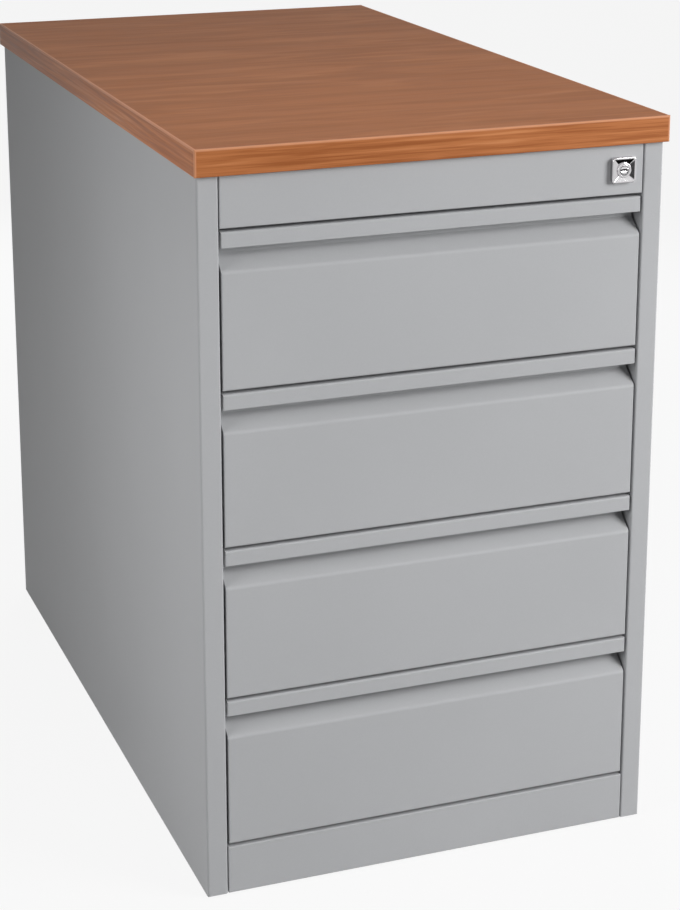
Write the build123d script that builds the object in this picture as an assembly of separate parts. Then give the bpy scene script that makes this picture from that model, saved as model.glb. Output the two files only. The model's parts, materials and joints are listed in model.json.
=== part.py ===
from build123d import *
from math import cos, radians, sin
import os

# Four drawer pedestal of folded sheet steel with a wood worktop, in millimetres.
# X runs to the right, Y from the front to the back and Z up.
# The origin is at floor level, under the middle of the worktop.

# Whole object
overall_width = 460
overall_depth = 800
overall_height = 720
floor_gap = 2

# Worktop
board_thickness = 25
edging_thickness = 2
edging_arris = 1
overhang_side = 3
overhang_front = 6
overhang_rear = 10
board_screw_radius = 2.25
board_screw_bite = 15
board_screw_head_radius = 4.5
board_screw_head_height = 2.4
board_screw_from_middle = 150

# Sheet metal
panel_sheet = 1.0
upright_sheet = 1.2
rail_sheet = 1.5
box_sheet = 0.8
fold_radius = 1.0
weld_gap = 0.15

# Carcass
post_width = 20
post_depth = 45
post_tail_gap = 2
rear_flange = 16
fascia_height = 48
plinth_height = 48
tray_depth = 19
tray_seam = 0.8
tray_round = 1.2
base_rise = 15
base_setback = 2
rail_width = 30
rail_drop = 18
front_rail_setback = 20
back_screw_count = 4
back_screw_radius = 2
back_screw_head_radius = 3.8
back_screw_head_height = 2.2
back_screw_margin = 40
back_screw_length = 8
screw_clearance = 0.15
driver_slot_width = 1.4
cut_past = 1

# Rear uprights that carry the runners
upright_width = 34
upright_brim = 12
upright_end_gap = 4

# Drawer fronts
drawer_count = 4
front_side_gap = 2
front_gap = 3
front_return = 22
front_round = 1.0
lip_height = 14.5
lip_hem_height = 7
grip_depth = 17
grip_wall_drop = 22.5
grip_slope_rise = 14
grip_nose_radius = 4
grip_corner_radius = 1.5
cheek_inset = 0.7

# Drawer boxes
box_lift = 10
box_height = 105
box_hem = 8
box_hem_round = 0.7
box_front_gap_below_top = 2
front_screw_radius = 2
front_screw_head_radius = 3.6
front_screw_head_height = 1.8
front_screw_length = 6
front_screw_from_side = 40
front_screw_rise = 7
front_screw_count = 3

# Telescopic runners
runner_rear_room = 59.2
runner_height = 45
runner_thickness = 12.5
runner_sheet = 1.2
runner_race = 3.2
runner_web_gap = 0.9
runner_front_gap = 4
runner_rise = 35
pad_length = 60
pad_clearance = 0.2
pad_end_gap = 2
rivet_radius = 2.5
rivet_tail_radius = 4
rivet_tail_height = 1.2
rivet_sink = 0.2
rivet_clearance = 0.05

# Cylinder lock in the fascia
lock_from_post = 22.5
bezel_size = 24.5
bezel_height = 4.6
bezel_corner = 3.5
bezel_arris = 0.8
dish_radius = 11
dish_depth = 1.4
boss_radius = 8.6
boss_height = 0.6
lock_body_radius = 8
lock_body_length = 36
plug_radius = 5.4
plug_recess = 0.4
plug_clearance = 0.05
key_slot_length = 7.6
key_slot_width = 1.4
key_slot_depth = 4
lock_nut_width = 22
lock_nut_thickness = 4
lock_hole_clearance = 0.1
cam_thickness = 2
cam_width = 12
cam_gap = 0.3
crank_radius = 10
crank_pin_radius = 2
crank_pin_end = 2
cam_screw_radius = 3.2
cam_screw_height = 1.8
turn_half_angle = 45

# Lock bar and catches
bar_sheet = 2
bar_width = 15
bar_gap = 0.3
bar_side_gap = 2
bar_foot = 12
slot_play = 0.5
arm_height = 17
arm_end = 6
hook_height = 12
hook_overlap = 6
hook_box_gap = 2.5
hook_catch_gap = 2
hook_catch_setback = 0.5
catch_height = 10
catch_rise = 80
catch_length = 20
catch_sheet = 2
guide_height = 14
guide_sheet = 1.5
guide_rise = 119.5

# Levelling feet
foot_from_side = 40
foot_from_end = 72
foot_stem_radius = 4
foot_stem_top = 17
foot_disc_radius = 16
foot_height = 8
foot_disc_thickness = 5
foot_disc_arris = 1.5
foot_hub_radius = 7
foot_nut_radius = 9
foot_slot_depth = 2
thread_clearance = 0.05
foot_hole_clearance = 0.4

# Places that follow from the sizes above
half_width = overall_width / 2
board_front = -overall_depth / 2
board_rear = overall_depth / 2
board_bottom = overall_height - board_thickness
body_half = half_width - overhang_side
body_front = board_front + overhang_front
body_rear = board_rear - overhang_rear
body_inner = body_half - panel_sheet
opening_half = body_half - post_width
post_rear = body_front + post_depth

plinth_top = floor_gap + plinth_height
fascia_bottom = board_bottom - fascia_height
front_zone = fascia_bottom - plinth_top
front_height = (front_zone - (drawer_count + 1) * front_gap) / drawer_count
front_pitch = front_height + front_gap
front_half = opening_half - front_side_gap
front_depth = grip_depth + panel_sheet
front_back = body_front + front_depth

box_half = opening_half - runner_thickness
box_front_y = front_back + box_sheet
runner_front_y = box_front_y + runner_front_gap
runner_rear_y = body_rear - 2 * panel_sheet - runner_rear_room
runner_length = runner_rear_y - runner_front_y

lock_x = opening_half - lock_from_post
lock_z = fascia_bottom + fascia_height / 2
bar_front_y = post_rear + bar_gap
bar_rear_y = bar_front_y + bar_sheet
bar_outer_x = body_inner - bar_side_gap
bar_inner_x = bar_outer_x - bar_width
pin_x = lock_x - crank_radius * cos(radians(turn_half_angle))
pin_z = lock_z - crank_radius * sin(radians(turn_half_angle))


def front_top(number):
    """Top edge of a drawer front, counted from the top drawer."""
    return fascia_bottom - front_gap - (number - 1) * front_pitch


def front_bottom(number):
    return front_top(number) - front_height


def box_bottom(number):
    return front_bottom(number) + box_lift


def runner_middle_z(number):
    return box_bottom(number) + runner_rise


def block(x, y, z):
    """A box between the low and high value of each axis."""
    size = Box(x[1] - x[0], y[1] - y[0], z[1] - z[0])
    return Pos((x[0] + x[1]) / 2, (y[0] + y[1]) / 2, (z[0] + z[1]) / 2) * size


def rod_x(radius, x, y, z):
    return Pos((x[0] + x[1]) / 2, y, z) * Rot(0, 90, 0) * Cylinder(radius, x[1] - x[0])


def rod_y(radius, x, y, z):
    return Pos(x, (y[0] + y[1]) / 2, z) * Rot(90, 0, 0) * Cylinder(radius, y[1] - y[0])


def rod_z(radius, x, y, z):
    return Pos(x, y, (z[0] + z[1]) / 2) * Cylinder(radius, z[1] - z[0])


def other_side(shape):
    """The same piece on the left."""
    return mirror(shape, about=Plane.YZ)


def folded(points, sheet, radii, plane, length):
    """A folded strip: the points follow one surface and the metal lies to their left."""
    path = [Vector(u, v) for u, v in points]
    ways = [(b - a).normalized() for a, b in zip(path, path[1:])]
    sides = [Vector(-way.Y, way.X) for way in ways]
    near_radii = [0]
    far_radii = [0]
    far_path = [path[0] + sides[0] * sheet]
    for i, radius in enumerate(radii, start=1):
        before, after = sides[i - 1], sides[i]
        mitre = (before + after) * (1 / (1 + before.dot(after)))
        far_path.append(path[i] + mitre * sheet)
        turns_left = ways[i - 1].cross(ways[i]).Z > 0
        near_radii.append(radius + sheet if turns_left else radius)
        far_radii.append(radius if turns_left else radius + sheet)
    near_radii.append(0)
    far_radii.append(0)
    far_path.append(path[-1] + sides[-1] * sheet)
    outline = FilletPolyline(
        *path, *reversed(far_path), radius=near_radii + far_radii[::-1], close=True
    )
    return extrude(plane * make_face(outline), amount=length)


def plan_at(z):
    """Plane for outlines seen from above, extruded up from z."""
    return Plane((0, 0, z))


def section_at_x(x):
    """Plane for outlines in Y and Z, extruded to the right from x."""
    return Plane((x, 0, 0), x_dir=(0, 1, 0), z_dir=(1, 0, 0))


def section_at_y(y):
    """Plane for outlines in X and Z, extruded to the front from y."""
    return Plane((0, y, 0), x_dir=(1, 0, 0), z_dir=(0, -1, 0))


# Worktop


def board_screw_places():
    """Middles of the screws that hold the worktop to its two rails."""
    rows = [rail_front(name) + rail_width / 2 for name in ("front", "rear")]
    return [(x, y) for x in (-board_screw_from_middle, board_screw_from_middle) for y in rows]


def worktop_board():
    inset = edging_thickness
    board = block(
        (-half_width + inset, half_width - inset),
        (board_front + inset, board_rear - inset),
        (board_bottom, overall_height),
    )
    hole_top = board_bottom + board_screw_bite + screw_clearance
    for x, y in board_screw_places():
        board -= rod_z(board_screw_radius + screw_clearance, x, y, (board_bottom - cut_past, hole_top))
    return [board]


def worktop_end_edging():
    """Edging strips across the front and the back, over the ends of the side strips."""
    front = block(
        (-half_width, half_width),
        (board_front, board_front + edging_thickness),
        (board_bottom, overall_height),
    )
    outer = front.edges().filter_by(Axis.X).group_by(Axis.Y)[0]
    upright = front.edges().filter_by(Axis.Z).group_by(Axis.Y)[0]
    front = fillet(outer + upright, edging_arris)
    return [front, mirror(front, about=Plane.XZ)]


def worktop_side_edging():
    strip = block(
        (half_width - edging_thickness, half_width),
        (board_front + edging_thickness, board_rear - edging_thickness),
        (board_bottom, overall_height),
    )
    strip = fillet(strip.edges().filter_by(Axis.Y).group_by(Axis.X)[-1], edging_arris)
    return [strip, other_side(strip)]


def worktop_screws():
    flange_bottom = board_bottom - rail_sheet
    screws = []
    for x, y in board_screw_places():
        head_z = (flange_bottom - board_screw_head_height, flange_bottom)
        shank_z = (head_z[0] + board_screw_head_height / 2, board_bottom + board_screw_bite)
        head = rod_z(board_screw_head_radius, x, y, head_z)
        slot = block(
            (x - board_screw_head_radius, x + board_screw_head_radius),
            (y - driver_slot_width / 2, y + driver_slot_width / 2),
            (head_z[0] - cut_past, head_z[0] + board_screw_head_height / 2),
        )
        screws.append(head - slot + rod_z(board_screw_radius, x, y, shank_z))
    return screws


# Carcass


def rail_front(name):
    """Front edge of a top rail."""
    if name == "front":
        return post_rear + front_rail_setback
    return body_rear - 2 * panel_sheet - base_setback - rail_width


def top_rail(name):
    """Channel under the worktop, from side to side."""
    front = rail_front(name)
    points = [
        (front + rail_width, board_bottom),
        (front, board_bottom),
        (front, board_bottom - rail_drop),
        (front + rail_width / 2, board_bottom - rail_drop),
    ]
    half = body_inner - weld_gap
    rail = folded(points, rail_sheet, [fold_radius] * 2, section_at_x(-half), 2 * half)
    for x, y in board_screw_places():
        hole_z = (board_bottom - 2 * rail_sheet, board_bottom + cut_past)
        rail -= rod_z(board_screw_radius + screw_clearance, x, y, hole_z)
    return [rail]


def side_panel():
    """Right side: the panel, the box post at its front edge and a flange at its back edge."""
    points = [
        (body_inner - post_tail_gap, post_rear),
        (opening_half, post_rear),
        (opening_half, body_front),
        (body_half, body_front),
        (body_half, body_rear),
        (body_half - rear_flange, body_rear),
    ]
    height = board_bottom - floor_gap
    panel = folded(points, panel_sheet, [fold_radius] * 4, plan_at(floor_gap), height)
    for number in range(1, drawer_count + 1):
        y, z = runner_rivet_places(number)[0]
        hole_x = (opening_half - cut_past, opening_half + 2 * panel_sheet)
        panel -= rod_x(rivet_radius + rivet_clearance, hole_x, y, z)
    for x, z in back_screw_places():
        if x > 0:
            hole_y = (body_rear - 2 * panel_sheet, body_rear + cut_past)
            panel -= rod_y(back_screw_radius + screw_clearance, x, hole_y, z)
    return panel


def back_screw_places():
    low = floor_gap + back_screw_margin
    high = board_bottom - back_screw_margin
    step = (high - low) / (back_screw_count - 1)
    x = body_half - rear_flange / 2
    return [(side * x, low + i * step) for side in (-1, 1) for i in range(back_screw_count)]


def back_panel():
    """Flat sheet inside the rear flanges of the sides."""
    half = body_inner - fold_radius - weld_gap
    rear = body_rear - panel_sheet
    panel = block((-half, half), (rear - panel_sheet, rear), (floor_gap, board_bottom - weld_gap))
    for x, z in back_screw_places():
        hole_y = (rear - 2 * panel_sheet, rear + cut_past)
        panel -= rod_y(back_screw_radius + screw_clearance, x, hole_y, z)
    return [panel]


def back_panel_screws():
    screws = []
    for x, z in back_screw_places():
        shank = rod_y(back_screw_radius, x, (body_rear - back_screw_length, body_rear), z)
        head = rod_y(back_screw_head_radius, x, (body_rear, body_rear + back_screw_head_height), z)
        head = fillet(head.edges().group_by(Axis.Y)[-1], back_screw_head_height / 3)
        for turn in (0, 90):
            groove = Box(back_screw_radius * 2, back_screw_head_height, driver_slot_width / 2)
            head -= Pos(x, body_rear + back_screw_head_height, z) * Rot(0, turn, 0) * groove
        screws.append(shank + head)
    return screws


def foot_places():
    x = body_half - foot_from_side
    front = body_front + foot_from_end
    rear = body_rear - foot_from_end
    return {
        "front_left": (-x, front),
        "front_right": (x, front),
        "rear_left": (-x, rear),
        "rear_right": (x, rear),
    }


def base_panel():
    """Floor of the carcass, notched round the posts, with a flange down at its front and back."""
    top = floor_gap + base_rise
    front = body_front + tray_depth + weld_gap
    rear = body_rear - 2 * panel_sheet - weld_gap
    points = [(rear, floor_gap), (rear, top), (front, top), (front, floor_gap)]
    half = body_inner - weld_gap
    panel = folded(points, panel_sheet, [fold_radius] * 2, section_at_x(-half), 2 * half)
    notch = block((opening_half - weld_gap, body_half), (body_front, post_rear + weld_gap), (0, top + cut_past))
    panel -= [notch, other_side(notch)]
    for x, y in foot_places().values():
        hole_z = (top - 2 * panel_sheet, top + cut_past)
        panel -= rod_z(foot_stem_radius + foot_hole_clearance, x, y, hole_z)
    return [panel]


def foot_nuts():
    """Round weld nuts under the base, one for each foot."""
    top = floor_gap + base_rise - panel_sheet
    nuts = []
    for x, y in foot_places().values():
        nut = rod_z(foot_nut_radius, x, y, (foot_height, top))
        nuts.append(nut - rod_z(foot_stem_radius + thread_clearance, x, y, (0, top + cut_past)))
    return nuts


def foot(name):
    """Levelling foot: a plastic disc on a threaded stem with a screwdriver slot on top."""
    x, y = foot_places()[name]
    stem_top = floor_gap + base_rise + foot_stem_top
    disc = rod_z(foot_disc_radius, x, y, (0, foot_disc_thickness))
    disc = fillet(disc.edges().group_by(Axis.Z)[-1], foot_disc_arris)
    hub = rod_z(foot_hub_radius, x, y, (0, foot_height))
    stem = rod_z(foot_stem_radius, x, y, (foot_disc_thickness / 2, stem_top))
    slot = block(
        (x - foot_stem_radius, x + foot_stem_radius),
        (y - driver_slot_width / 2, y + driver_slot_width / 2),
        (stem_top - foot_slot_depth, stem_top + cut_past),
    )
    return [disc + hub + stem - slot]


def front_tray(bottom, top):
    """Shallow tray between the posts, open at the back, with rounded front edges."""
    half = opening_half - tray_seam
    back = body_front + tray_depth
    tray = block((-half, half), (body_front, back), (bottom, top))
    tray = fillet(tray.edges().group_by(Axis.Y)[0], tray_round)
    wall = panel_sheet
    hollow_y = (body_front + wall, back + cut_past)
    hollow = block((wall - half, half - wall), hollow_y, (bottom + wall, top - wall))
    return tray - hollow


def plinth_panel():
    return [front_tray(floor_gap, plinth_top)]


def lock_fascia():
    hole_y = (body_front - cut_past, body_front + 2 * panel_sheet)
    hole = rod_y(lock_body_radius + lock_hole_clearance, lock_x, hole_y, lock_z)
    return [front_tray(fascia_bottom, board_bottom) - hole]


def rear_upright():
    """Right hat section on the side panel, which carries the back ends of the runners."""
    middle = upright_y()
    front = middle - upright_width / 2
    rear = middle + upright_width / 2
    outer = body_inner
    inner = opening_half + upright_sheet
    points = [
        (outer, front - upright_brim),
        (outer, front),
        (inner, front),
        (inner, rear),
        (outer, rear),
        (outer, rear + upright_brim),
    ]
    low = floor_gap + base_rise
    height = board_bottom - upright_end_gap - low
    upright = folded(points, upright_sheet, [fold_radius] * 4, plan_at(low), height)
    for number in range(1, drawer_count + 1):
        y, z = runner_rivet_places(number)[1]
        hole_x = (opening_half - cut_past, inner + cut_past)
        upright -= rod_x(rivet_radius + rivet_clearance, hole_x, y, z)
    return upright


# Runners


def upright_y():
    """Middle of the rear uprights, near the back end of the runners."""
    return runner_rear_y - upright_width / 2


def runner_rivet_places(number):
    """Front and rear rivet of a drawer's fixed runner members, as Y and Z."""
    front = (runner_front_y + post_rear) / 2
    return [(front, runner_middle_z(number)), (upright_y(), runner_middle_z(number))]


def channel(outer, inner, half, web_outside, z, front, length):
    """A channel along Y, with its web at the outer or at the inner face."""
    if web_outside:
        points = [(inner, z + half), (outer, z + half), (outer, z - half), (inner, z - half)]
        points.reverse()
    else:
        points = [(outer, z + half), (inner, z + half), (inner, z - half), (outer, z - half)]
    plane = section_at_y(front + length)
    return folded(points, runner_sheet, [fold_radius] * 2, plane, length)


def outer_half_height():
    return runner_height / 2


def middle_half_height():
    return outer_half_height() - runner_sheet - runner_race


def inner_half_height():
    return middle_half_height() - runner_sheet - runner_race


def middle_web_x():
    """Outer face of the middle member's web."""
    return opening_half - runner_sheet - runner_web_gap


def runner_outer(number):
    z = runner_middle_z(number)
    member = channel(
        opening_half, box_half + runner_sheet + runner_web_gap, outer_half_height(), True, z,
        runner_front_y, runner_length,
    )
    for y, hole_z in runner_rivet_places(number):
        hole_x = (opening_half - 2 * runner_sheet, opening_half + cut_past)
        member -= rod_x(rivet_radius + rivet_clearance, hole_x, y, hole_z)
    return [member, other_side(member)]


def runner_middle(number):
    z = runner_middle_z(number)
    inner = box_half + runner_sheet + runner_web_gap
    member = channel(middle_web_x(), inner, middle_half_height(), True, z, runner_front_y, runner_length)
    return [member, other_side(member)]


def runner_inner(number):
    z = runner_middle_z(number)
    outer = middle_web_x() - runner_sheet - runner_web_gap
    member = channel(outer, box_half, inner_half_height(), False, z, runner_front_y, runner_length)
    return [member, other_side(member)]


def runner_pads(number):
    """Plastic glide strips on the middle member, top and bottom, for both of its neighbours."""
    z = runner_middle_z(number)
    inner = box_half + runner_sheet + runner_web_gap
    thickness = runner_race - pad_clearance
    edge_x = inner + fold_radius
    outer_x = (edge_x, middle_web_x() - fold_radius - runner_sheet)
    inner_x = (edge_x, middle_web_x() - 2 * runner_sheet - runner_web_gap)
    centre = (runner_front_y + runner_rear_y) / 2
    middle_y = (centre - pad_length / 2, centre + pad_length / 2)
    rear_y = (runner_rear_y - pad_length - pad_end_gap, runner_rear_y - pad_end_gap)
    front_y = (runner_front_y + pad_end_gap, runner_front_y + pad_length + pad_end_gap)
    outside = middle_half_height()
    inside = middle_half_height() - runner_sheet
    pads = []
    for side in (1, -1):
        for y in (middle_y, rear_y):
            low, high = sorted((z + side * outside, z + side * (outside + thickness)))
            pads.append(block(outer_x, y, (low, high)))
        for y in (middle_y, front_y):
            low, high = sorted((z + side * inside, z + side * (inside - thickness)))
            pads.append(block(inner_x, y, (low, high)))
    return pads + [other_side(pad) for pad in pads]


def runner_rivets():
    """Rivets from the fixed members into the posts and the rear uprights."""
    rivets = []
    for number in range(1, drawer_count + 1):
        walls = (panel_sheet, upright_sheet)
        for (y, z), wall in zip(runner_rivet_places(number), walls):
            inside = opening_half + wall
            shank = rod_x(rivet_radius, (opening_half - runner_sheet + rivet_sink, inside), y, z)
            tail = rod_x(rivet_tail_radius, (inside, inside + rivet_tail_height), y, z)
            rivets.append(shank + tail)
    return rivets + [other_side(rivet) for rivet in rivets]


# Drawers


def drawer_front(number):
    """Folded front: the lip, the finger recess below it, the face and its flanges."""
    top = front_top(number)
    bottom = front_bottom(number)
    face = body_front
    sheet = panel_sheet
    nose = top - grip_wall_drop - grip_slope_rise
    points = [
        (face + sheet, top - lip_height),
        (face + sheet, top - sheet),
        (face + grip_depth, top - sheet),
        (face + grip_depth, top - grip_wall_drop),
        (face, nose),
        (face, bottom),
        (front_back, bottom),
        (front_back, bottom + front_return),
    ]
    radii = [fold_radius, fold_radius, grip_corner_radius, grip_nose_radius, fold_radius, fold_radius]
    width = 2 * front_half
    front = folded(points, sheet, radii, section_at_x(-front_half), width)
    hem = block(
        (-front_half, front_half),
        (face + sheet / 2, face + 2 * sheet),
        (top - lip_height, top - lip_height + lip_hem_height),
    )
    inset = cheek_inset
    cheek = Polyline(
        (face + inset, bottom + inset),
        (front_back - inset, bottom + inset),
        (front_back - inset, top - grip_wall_drop - inset),
        (face + grip_depth, top - grip_wall_drop - inset),
        (face + inset, nose - inset),
        close=True,
    )
    for x in (-front_half, front_half - sheet):
        front += extrude(section_at_x(x) * make_face(cheek), amount=sheet)
    front += hem
    envelope_z = (bottom - cut_past, top + cut_past)
    envelope = block((-front_half, front_half), (face, front_back + cut_past), envelope_z)
    front_corners = envelope.edges().filter_by(Axis.Z).group_by(Axis.Y)[0]
    front = front & fillet(front_corners, front_round)
    for x, z in front_screw_places(number):
        hole_y = (front_back - 2 * sheet, front_back + cut_past)
        front -= rod_y(front_screw_radius + screw_clearance, x, hole_y, z)
    return [front]


def front_screw_places(number):
    """Screws through the box front into the return at the bottom of the drawer front."""
    z = box_bottom(number) + front_screw_rise
    end = front_half - front_screw_from_side
    step = 2 * end / (front_screw_count - 1)
    return [(-end + i * step, z) for i in range(front_screw_count)]


def drawer_box(number):
    """Tray of welded flat sheets: floor, two sides and a back with closed hems, and a front wall."""
    bottom = box_bottom(number)
    top = bottom + box_height
    inner = box_half - box_sheet
    y = (front_back, runner_rear_y)
    above_floor = bottom + box_sheet
    floor = block((-inner, inner), y, (bottom, above_floor))
    side = block((inner, box_half), y, (bottom, top))
    side += block((inner, box_half + box_sheet), y, (top - box_hem, top))
    side = fillet(side.edges().filter_by(Axis.Y).group_by(Axis.Z)[-1], box_hem_round)
    back = block((-inner, inner), (runner_rear_y - box_sheet, runner_rear_y), (above_floor, top))
    hem_y = (runner_rear_y - box_sheet, runner_rear_y + box_sheet)
    back += block((-inner, inner), hem_y, (top - box_hem, top))
    back = fillet(back.edges().filter_by(Axis.X).group_by(Axis.Z)[-1], box_hem_round)
    front_high = front_top(number) - box_front_gap_below_top
    front = block((-inner, inner), (front_back, box_front_y), (above_floor, front_high))
    for x, z in front_screw_places(number):
        hole_y = (front_back - cut_past, box_front_y + cut_past)
        front -= rod_y(front_screw_radius + screw_clearance, x, hole_y, z)
    return [floor, side, other_side(side), back, front]


def drawer_front_screws(number):
    screws = []
    for x, z in front_screw_places(number):
        shank_y = (box_front_y - front_screw_length, box_front_y)
        shank = rod_y(front_screw_radius, x, shank_y, z)
        head = rod_y(front_screw_head_radius, x, (box_front_y, box_front_y + front_screw_head_height), z)
        head = fillet(head.edges().group_by(Axis.Y)[-1], front_screw_head_height / 3)
        groove = block(
            (x - front_screw_head_radius, x + front_screw_head_radius),
            (box_front_y + front_screw_head_height / 2, box_front_y + 2 * front_screw_head_height),
            (z - driver_slot_width / 2, z + driver_slot_width / 2),
        )
        screws.append(shank + head - groove)
    return screws


def catch_bottom(number):
    return box_bottom(number) + catch_rise - catch_height / 2


def drawer_catch(number):
    """Angle on the right side of a box, which the lock bar's hook stands in front of."""
    low = catch_bottom(number)
    z = (low, low + catch_height)
    front = bar_rear_y + hook_catch_setback
    foot_plate = block((box_half, box_half + catch_sheet), (front, front + catch_length), z)
    tab_end = box_half + hook_box_gap + hook_overlap
    tab = block((box_half, tab_end), (front, front + catch_sheet), z)
    return [foot_plate + tab]


# Lock


def lock_housing():
    """Square bezel with a dished face and a round boss, on a threaded round body."""
    front = body_front - bezel_height
    half = bezel_size / 2
    bezel = block((lock_x - half, lock_x + half), (front, body_front), (lock_z - half, lock_z + half))
    bezel = fillet(bezel.edges().filter_by(Axis.Y), bezel_corner)
    bezel = fillet(bezel.edges().group_by(Axis.Y)[0], bezel_arris)
    dish = Pos(lock_x, front, lock_z) * Rot(90, 0, 0) * Cone(
        boss_radius, dish_radius, dish_depth, align=(Align.CENTER, Align.CENTER, Align.MAX)
    )
    bezel -= dish
    bezel += rod_y(boss_radius, lock_x, (front - boss_height, body_front), lock_z)
    body_end = body_front + lock_body_length
    bezel += rod_y(lock_body_radius, lock_x, (front, body_end), lock_z)
    bore = rod_y(plug_radius + plug_clearance, lock_x, (front - boss_height - cut_past, body_end + cut_past), lock_z)
    return [bezel - bore]


def lock_nut():
    nut = Pos(lock_x, body_front + panel_sheet, lock_z) * Rot(-90, 0, 0) * extrude(
        RegularPolygon(lock_nut_width / 2, 6, major_radius=False), amount=lock_nut_thickness
    )
    hole = rod_y(
        lock_body_radius + thread_clearance, lock_x, (body_front, body_front + 2 * lock_nut_thickness),
        lock_z,
    )
    return [nut - hole]


def cam_plane_y():
    """Front face of the cam plate, behind the lock body."""
    return body_front + lock_body_length + cam_gap


def lock_plug():
    """Turning barrel with the key slot, flat when the lock is open."""
    front = body_front - bezel_height - boss_height + plug_recess
    plug = rod_y(plug_radius, lock_x, (front, cam_plane_y()), lock_z)
    half = key_slot_length / 2
    slot = block(
        (lock_x - half, lock_x + half),
        (front - cut_past, front + key_slot_depth),
        (lock_z - key_slot_width / 2, lock_z + key_slot_width / 2),
    )
    return [plug - slot]


def lock_cam():
    """Cam plate with the crank pin that lifts the bar, and the screw that holds it."""
    front = cam_plane_y()
    back = front + cam_thickness
    half = cam_width / 2
    arm = Pos(lock_x, (front + back) / 2, lock_z) * Rot(0, -turn_half_angle, 0) * (
        Pos(-crank_radius / 2, 0, 0) * Box(crank_radius, cam_thickness, cam_width)
    )
    cam = arm + rod_y(half, lock_x, (front, back), lock_z) + rod_y(half, pin_x, (front, back), pin_z)
    pin = rod_y(crank_pin_radius, pin_x, (front, bar_rear_y + crank_pin_end), pin_z)
    screw = rod_y(cam_screw_radius, lock_x, (front, back + cam_screw_height), lock_z)
    return [cam + pin + screw]


def lock_bar():
    """Flat bar behind the right post: a slotted arm to the cam and a hook for each drawer."""
    y = (bar_front_y, bar_rear_y)
    arm_z = (pin_z - arm_height / 2, pin_z + arm_height / 2)
    low = hook_top(drawer_count) - hook_height - bar_foot
    bar = block((bar_inner_x, bar_outer_x), y, (low, arm_z[1]))
    slot_left = lock_x - crank_radius - crank_pin_radius - slot_play
    slot_right = pin_x + crank_pin_radius + slot_play
    bar += block((slot_left - arm_end, bar_inner_x + cut_past), y, arm_z)
    slot_half = crank_pin_radius + slot_play
    bar -= block(
        (slot_left, slot_right),
        (y[0] - cut_past, y[1] + cut_past),
        (pin_z - slot_half, pin_z + slot_half),
    )
    for number in range(1, drawer_count + 1):
        hook_z = (hook_top(number) - hook_height, hook_top(number))
        bar += block((box_half + hook_box_gap, bar_inner_x + cut_past), y, hook_z)
    return [bar]


def hook_top(number):
    return catch_bottom(number) - hook_catch_gap


def lock_bar_guides():
    """Two staples on the back of the right post, which hold the bar and let it slide."""
    guides = []
    for number in (1, drawer_count):
        low = box_bottom(number) + guide_rise - guide_height / 2
        z = (low, low + guide_height)
        inner = (bar_inner_x - bar_gap, bar_outer_x + bar_gap)
        outer = (inner[0] - guide_sheet, inner[1] + guide_sheet)
        rear = bar_rear_y + bar_gap
        staple = block(outer, (post_rear, rear + guide_sheet), z)
        room = block(inner, (post_rear - cut_past, rear), (z[0] - cut_past, z[1] + cut_past))
        guides.append(staple - room)
    return guides


def make_nodes():
    right_side = side_panel()
    right_upright = rear_upright()
    nodes = {
        "worktop_board": worktop_board(),
        "worktop_end_edging": worktop_end_edging(),
        "worktop_side_edging": worktop_side_edging(),
        "worktop_screws": worktop_screws(),
        "top_front_rail": top_rail("front"),
        "top_rear_rail": top_rail("rear"),
        "right_side_panel": [right_side],
        "left_side_panel": [other_side(right_side)],
        "back_panel": back_panel(),
        "back_panel_screws": back_panel_screws(),
        "base_panel": base_panel(),
        "foot_nuts": foot_nuts(),
        "plinth_panel": plinth_panel(),
        "lock_fascia": lock_fascia(),
        "right_rear_upright": [right_upright],
        "left_rear_upright": [other_side(right_upright)],
        "runner_rivets": runner_rivets(),
        "lock_housing": lock_housing(),
        "lock_nut": lock_nut(),
        "lock_plug": lock_plug(),
        "lock_cam": lock_cam(),
        "lock_bar": lock_bar(),
        "lock_bar_guides": lock_bar_guides(),
    }
    for name in foot_places():
        nodes[f"{name}_foot"] = foot(name)
    for number in range(1, drawer_count + 1):
        nodes[f"drawer_{number}_front"] = drawer_front(number)
        nodes[f"drawer_{number}_box"] = drawer_box(number)
        nodes[f"drawer_{number}_front_screws"] = drawer_front_screws(number)
        nodes[f"drawer_{number}_catch"] = drawer_catch(number)
        nodes[f"drawer_{number}_runner_inner"] = runner_inner(number)
        nodes[f"drawer_{number}_runner_middle"] = runner_middle(number)
        nodes[f"drawer_{number}_runner_pads"] = runner_pads(number)
        nodes[f"drawer_{number}_runner_outer"] = runner_outer(number)
    return nodes


os.makedirs("parts", exist_ok=True)
for name, pieces in make_nodes().items():
    solids = [solid for piece in pieces for solid in piece.solids()]
    shape = solids[0] if len(solids) == 1 else Compound(children=solids)
    export_step(shape, f"parts/{name}.step")
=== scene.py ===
import json
from math import cos, pi, radians, sin, sqrt, tau

import bmesh
import bpy
from bpy.props import FloatProperty, FloatVectorProperty, PointerProperty
from bpy.types import Operator, Panel, PropertyGroup
from mathutils import Euler, Matrix, Vector


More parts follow.
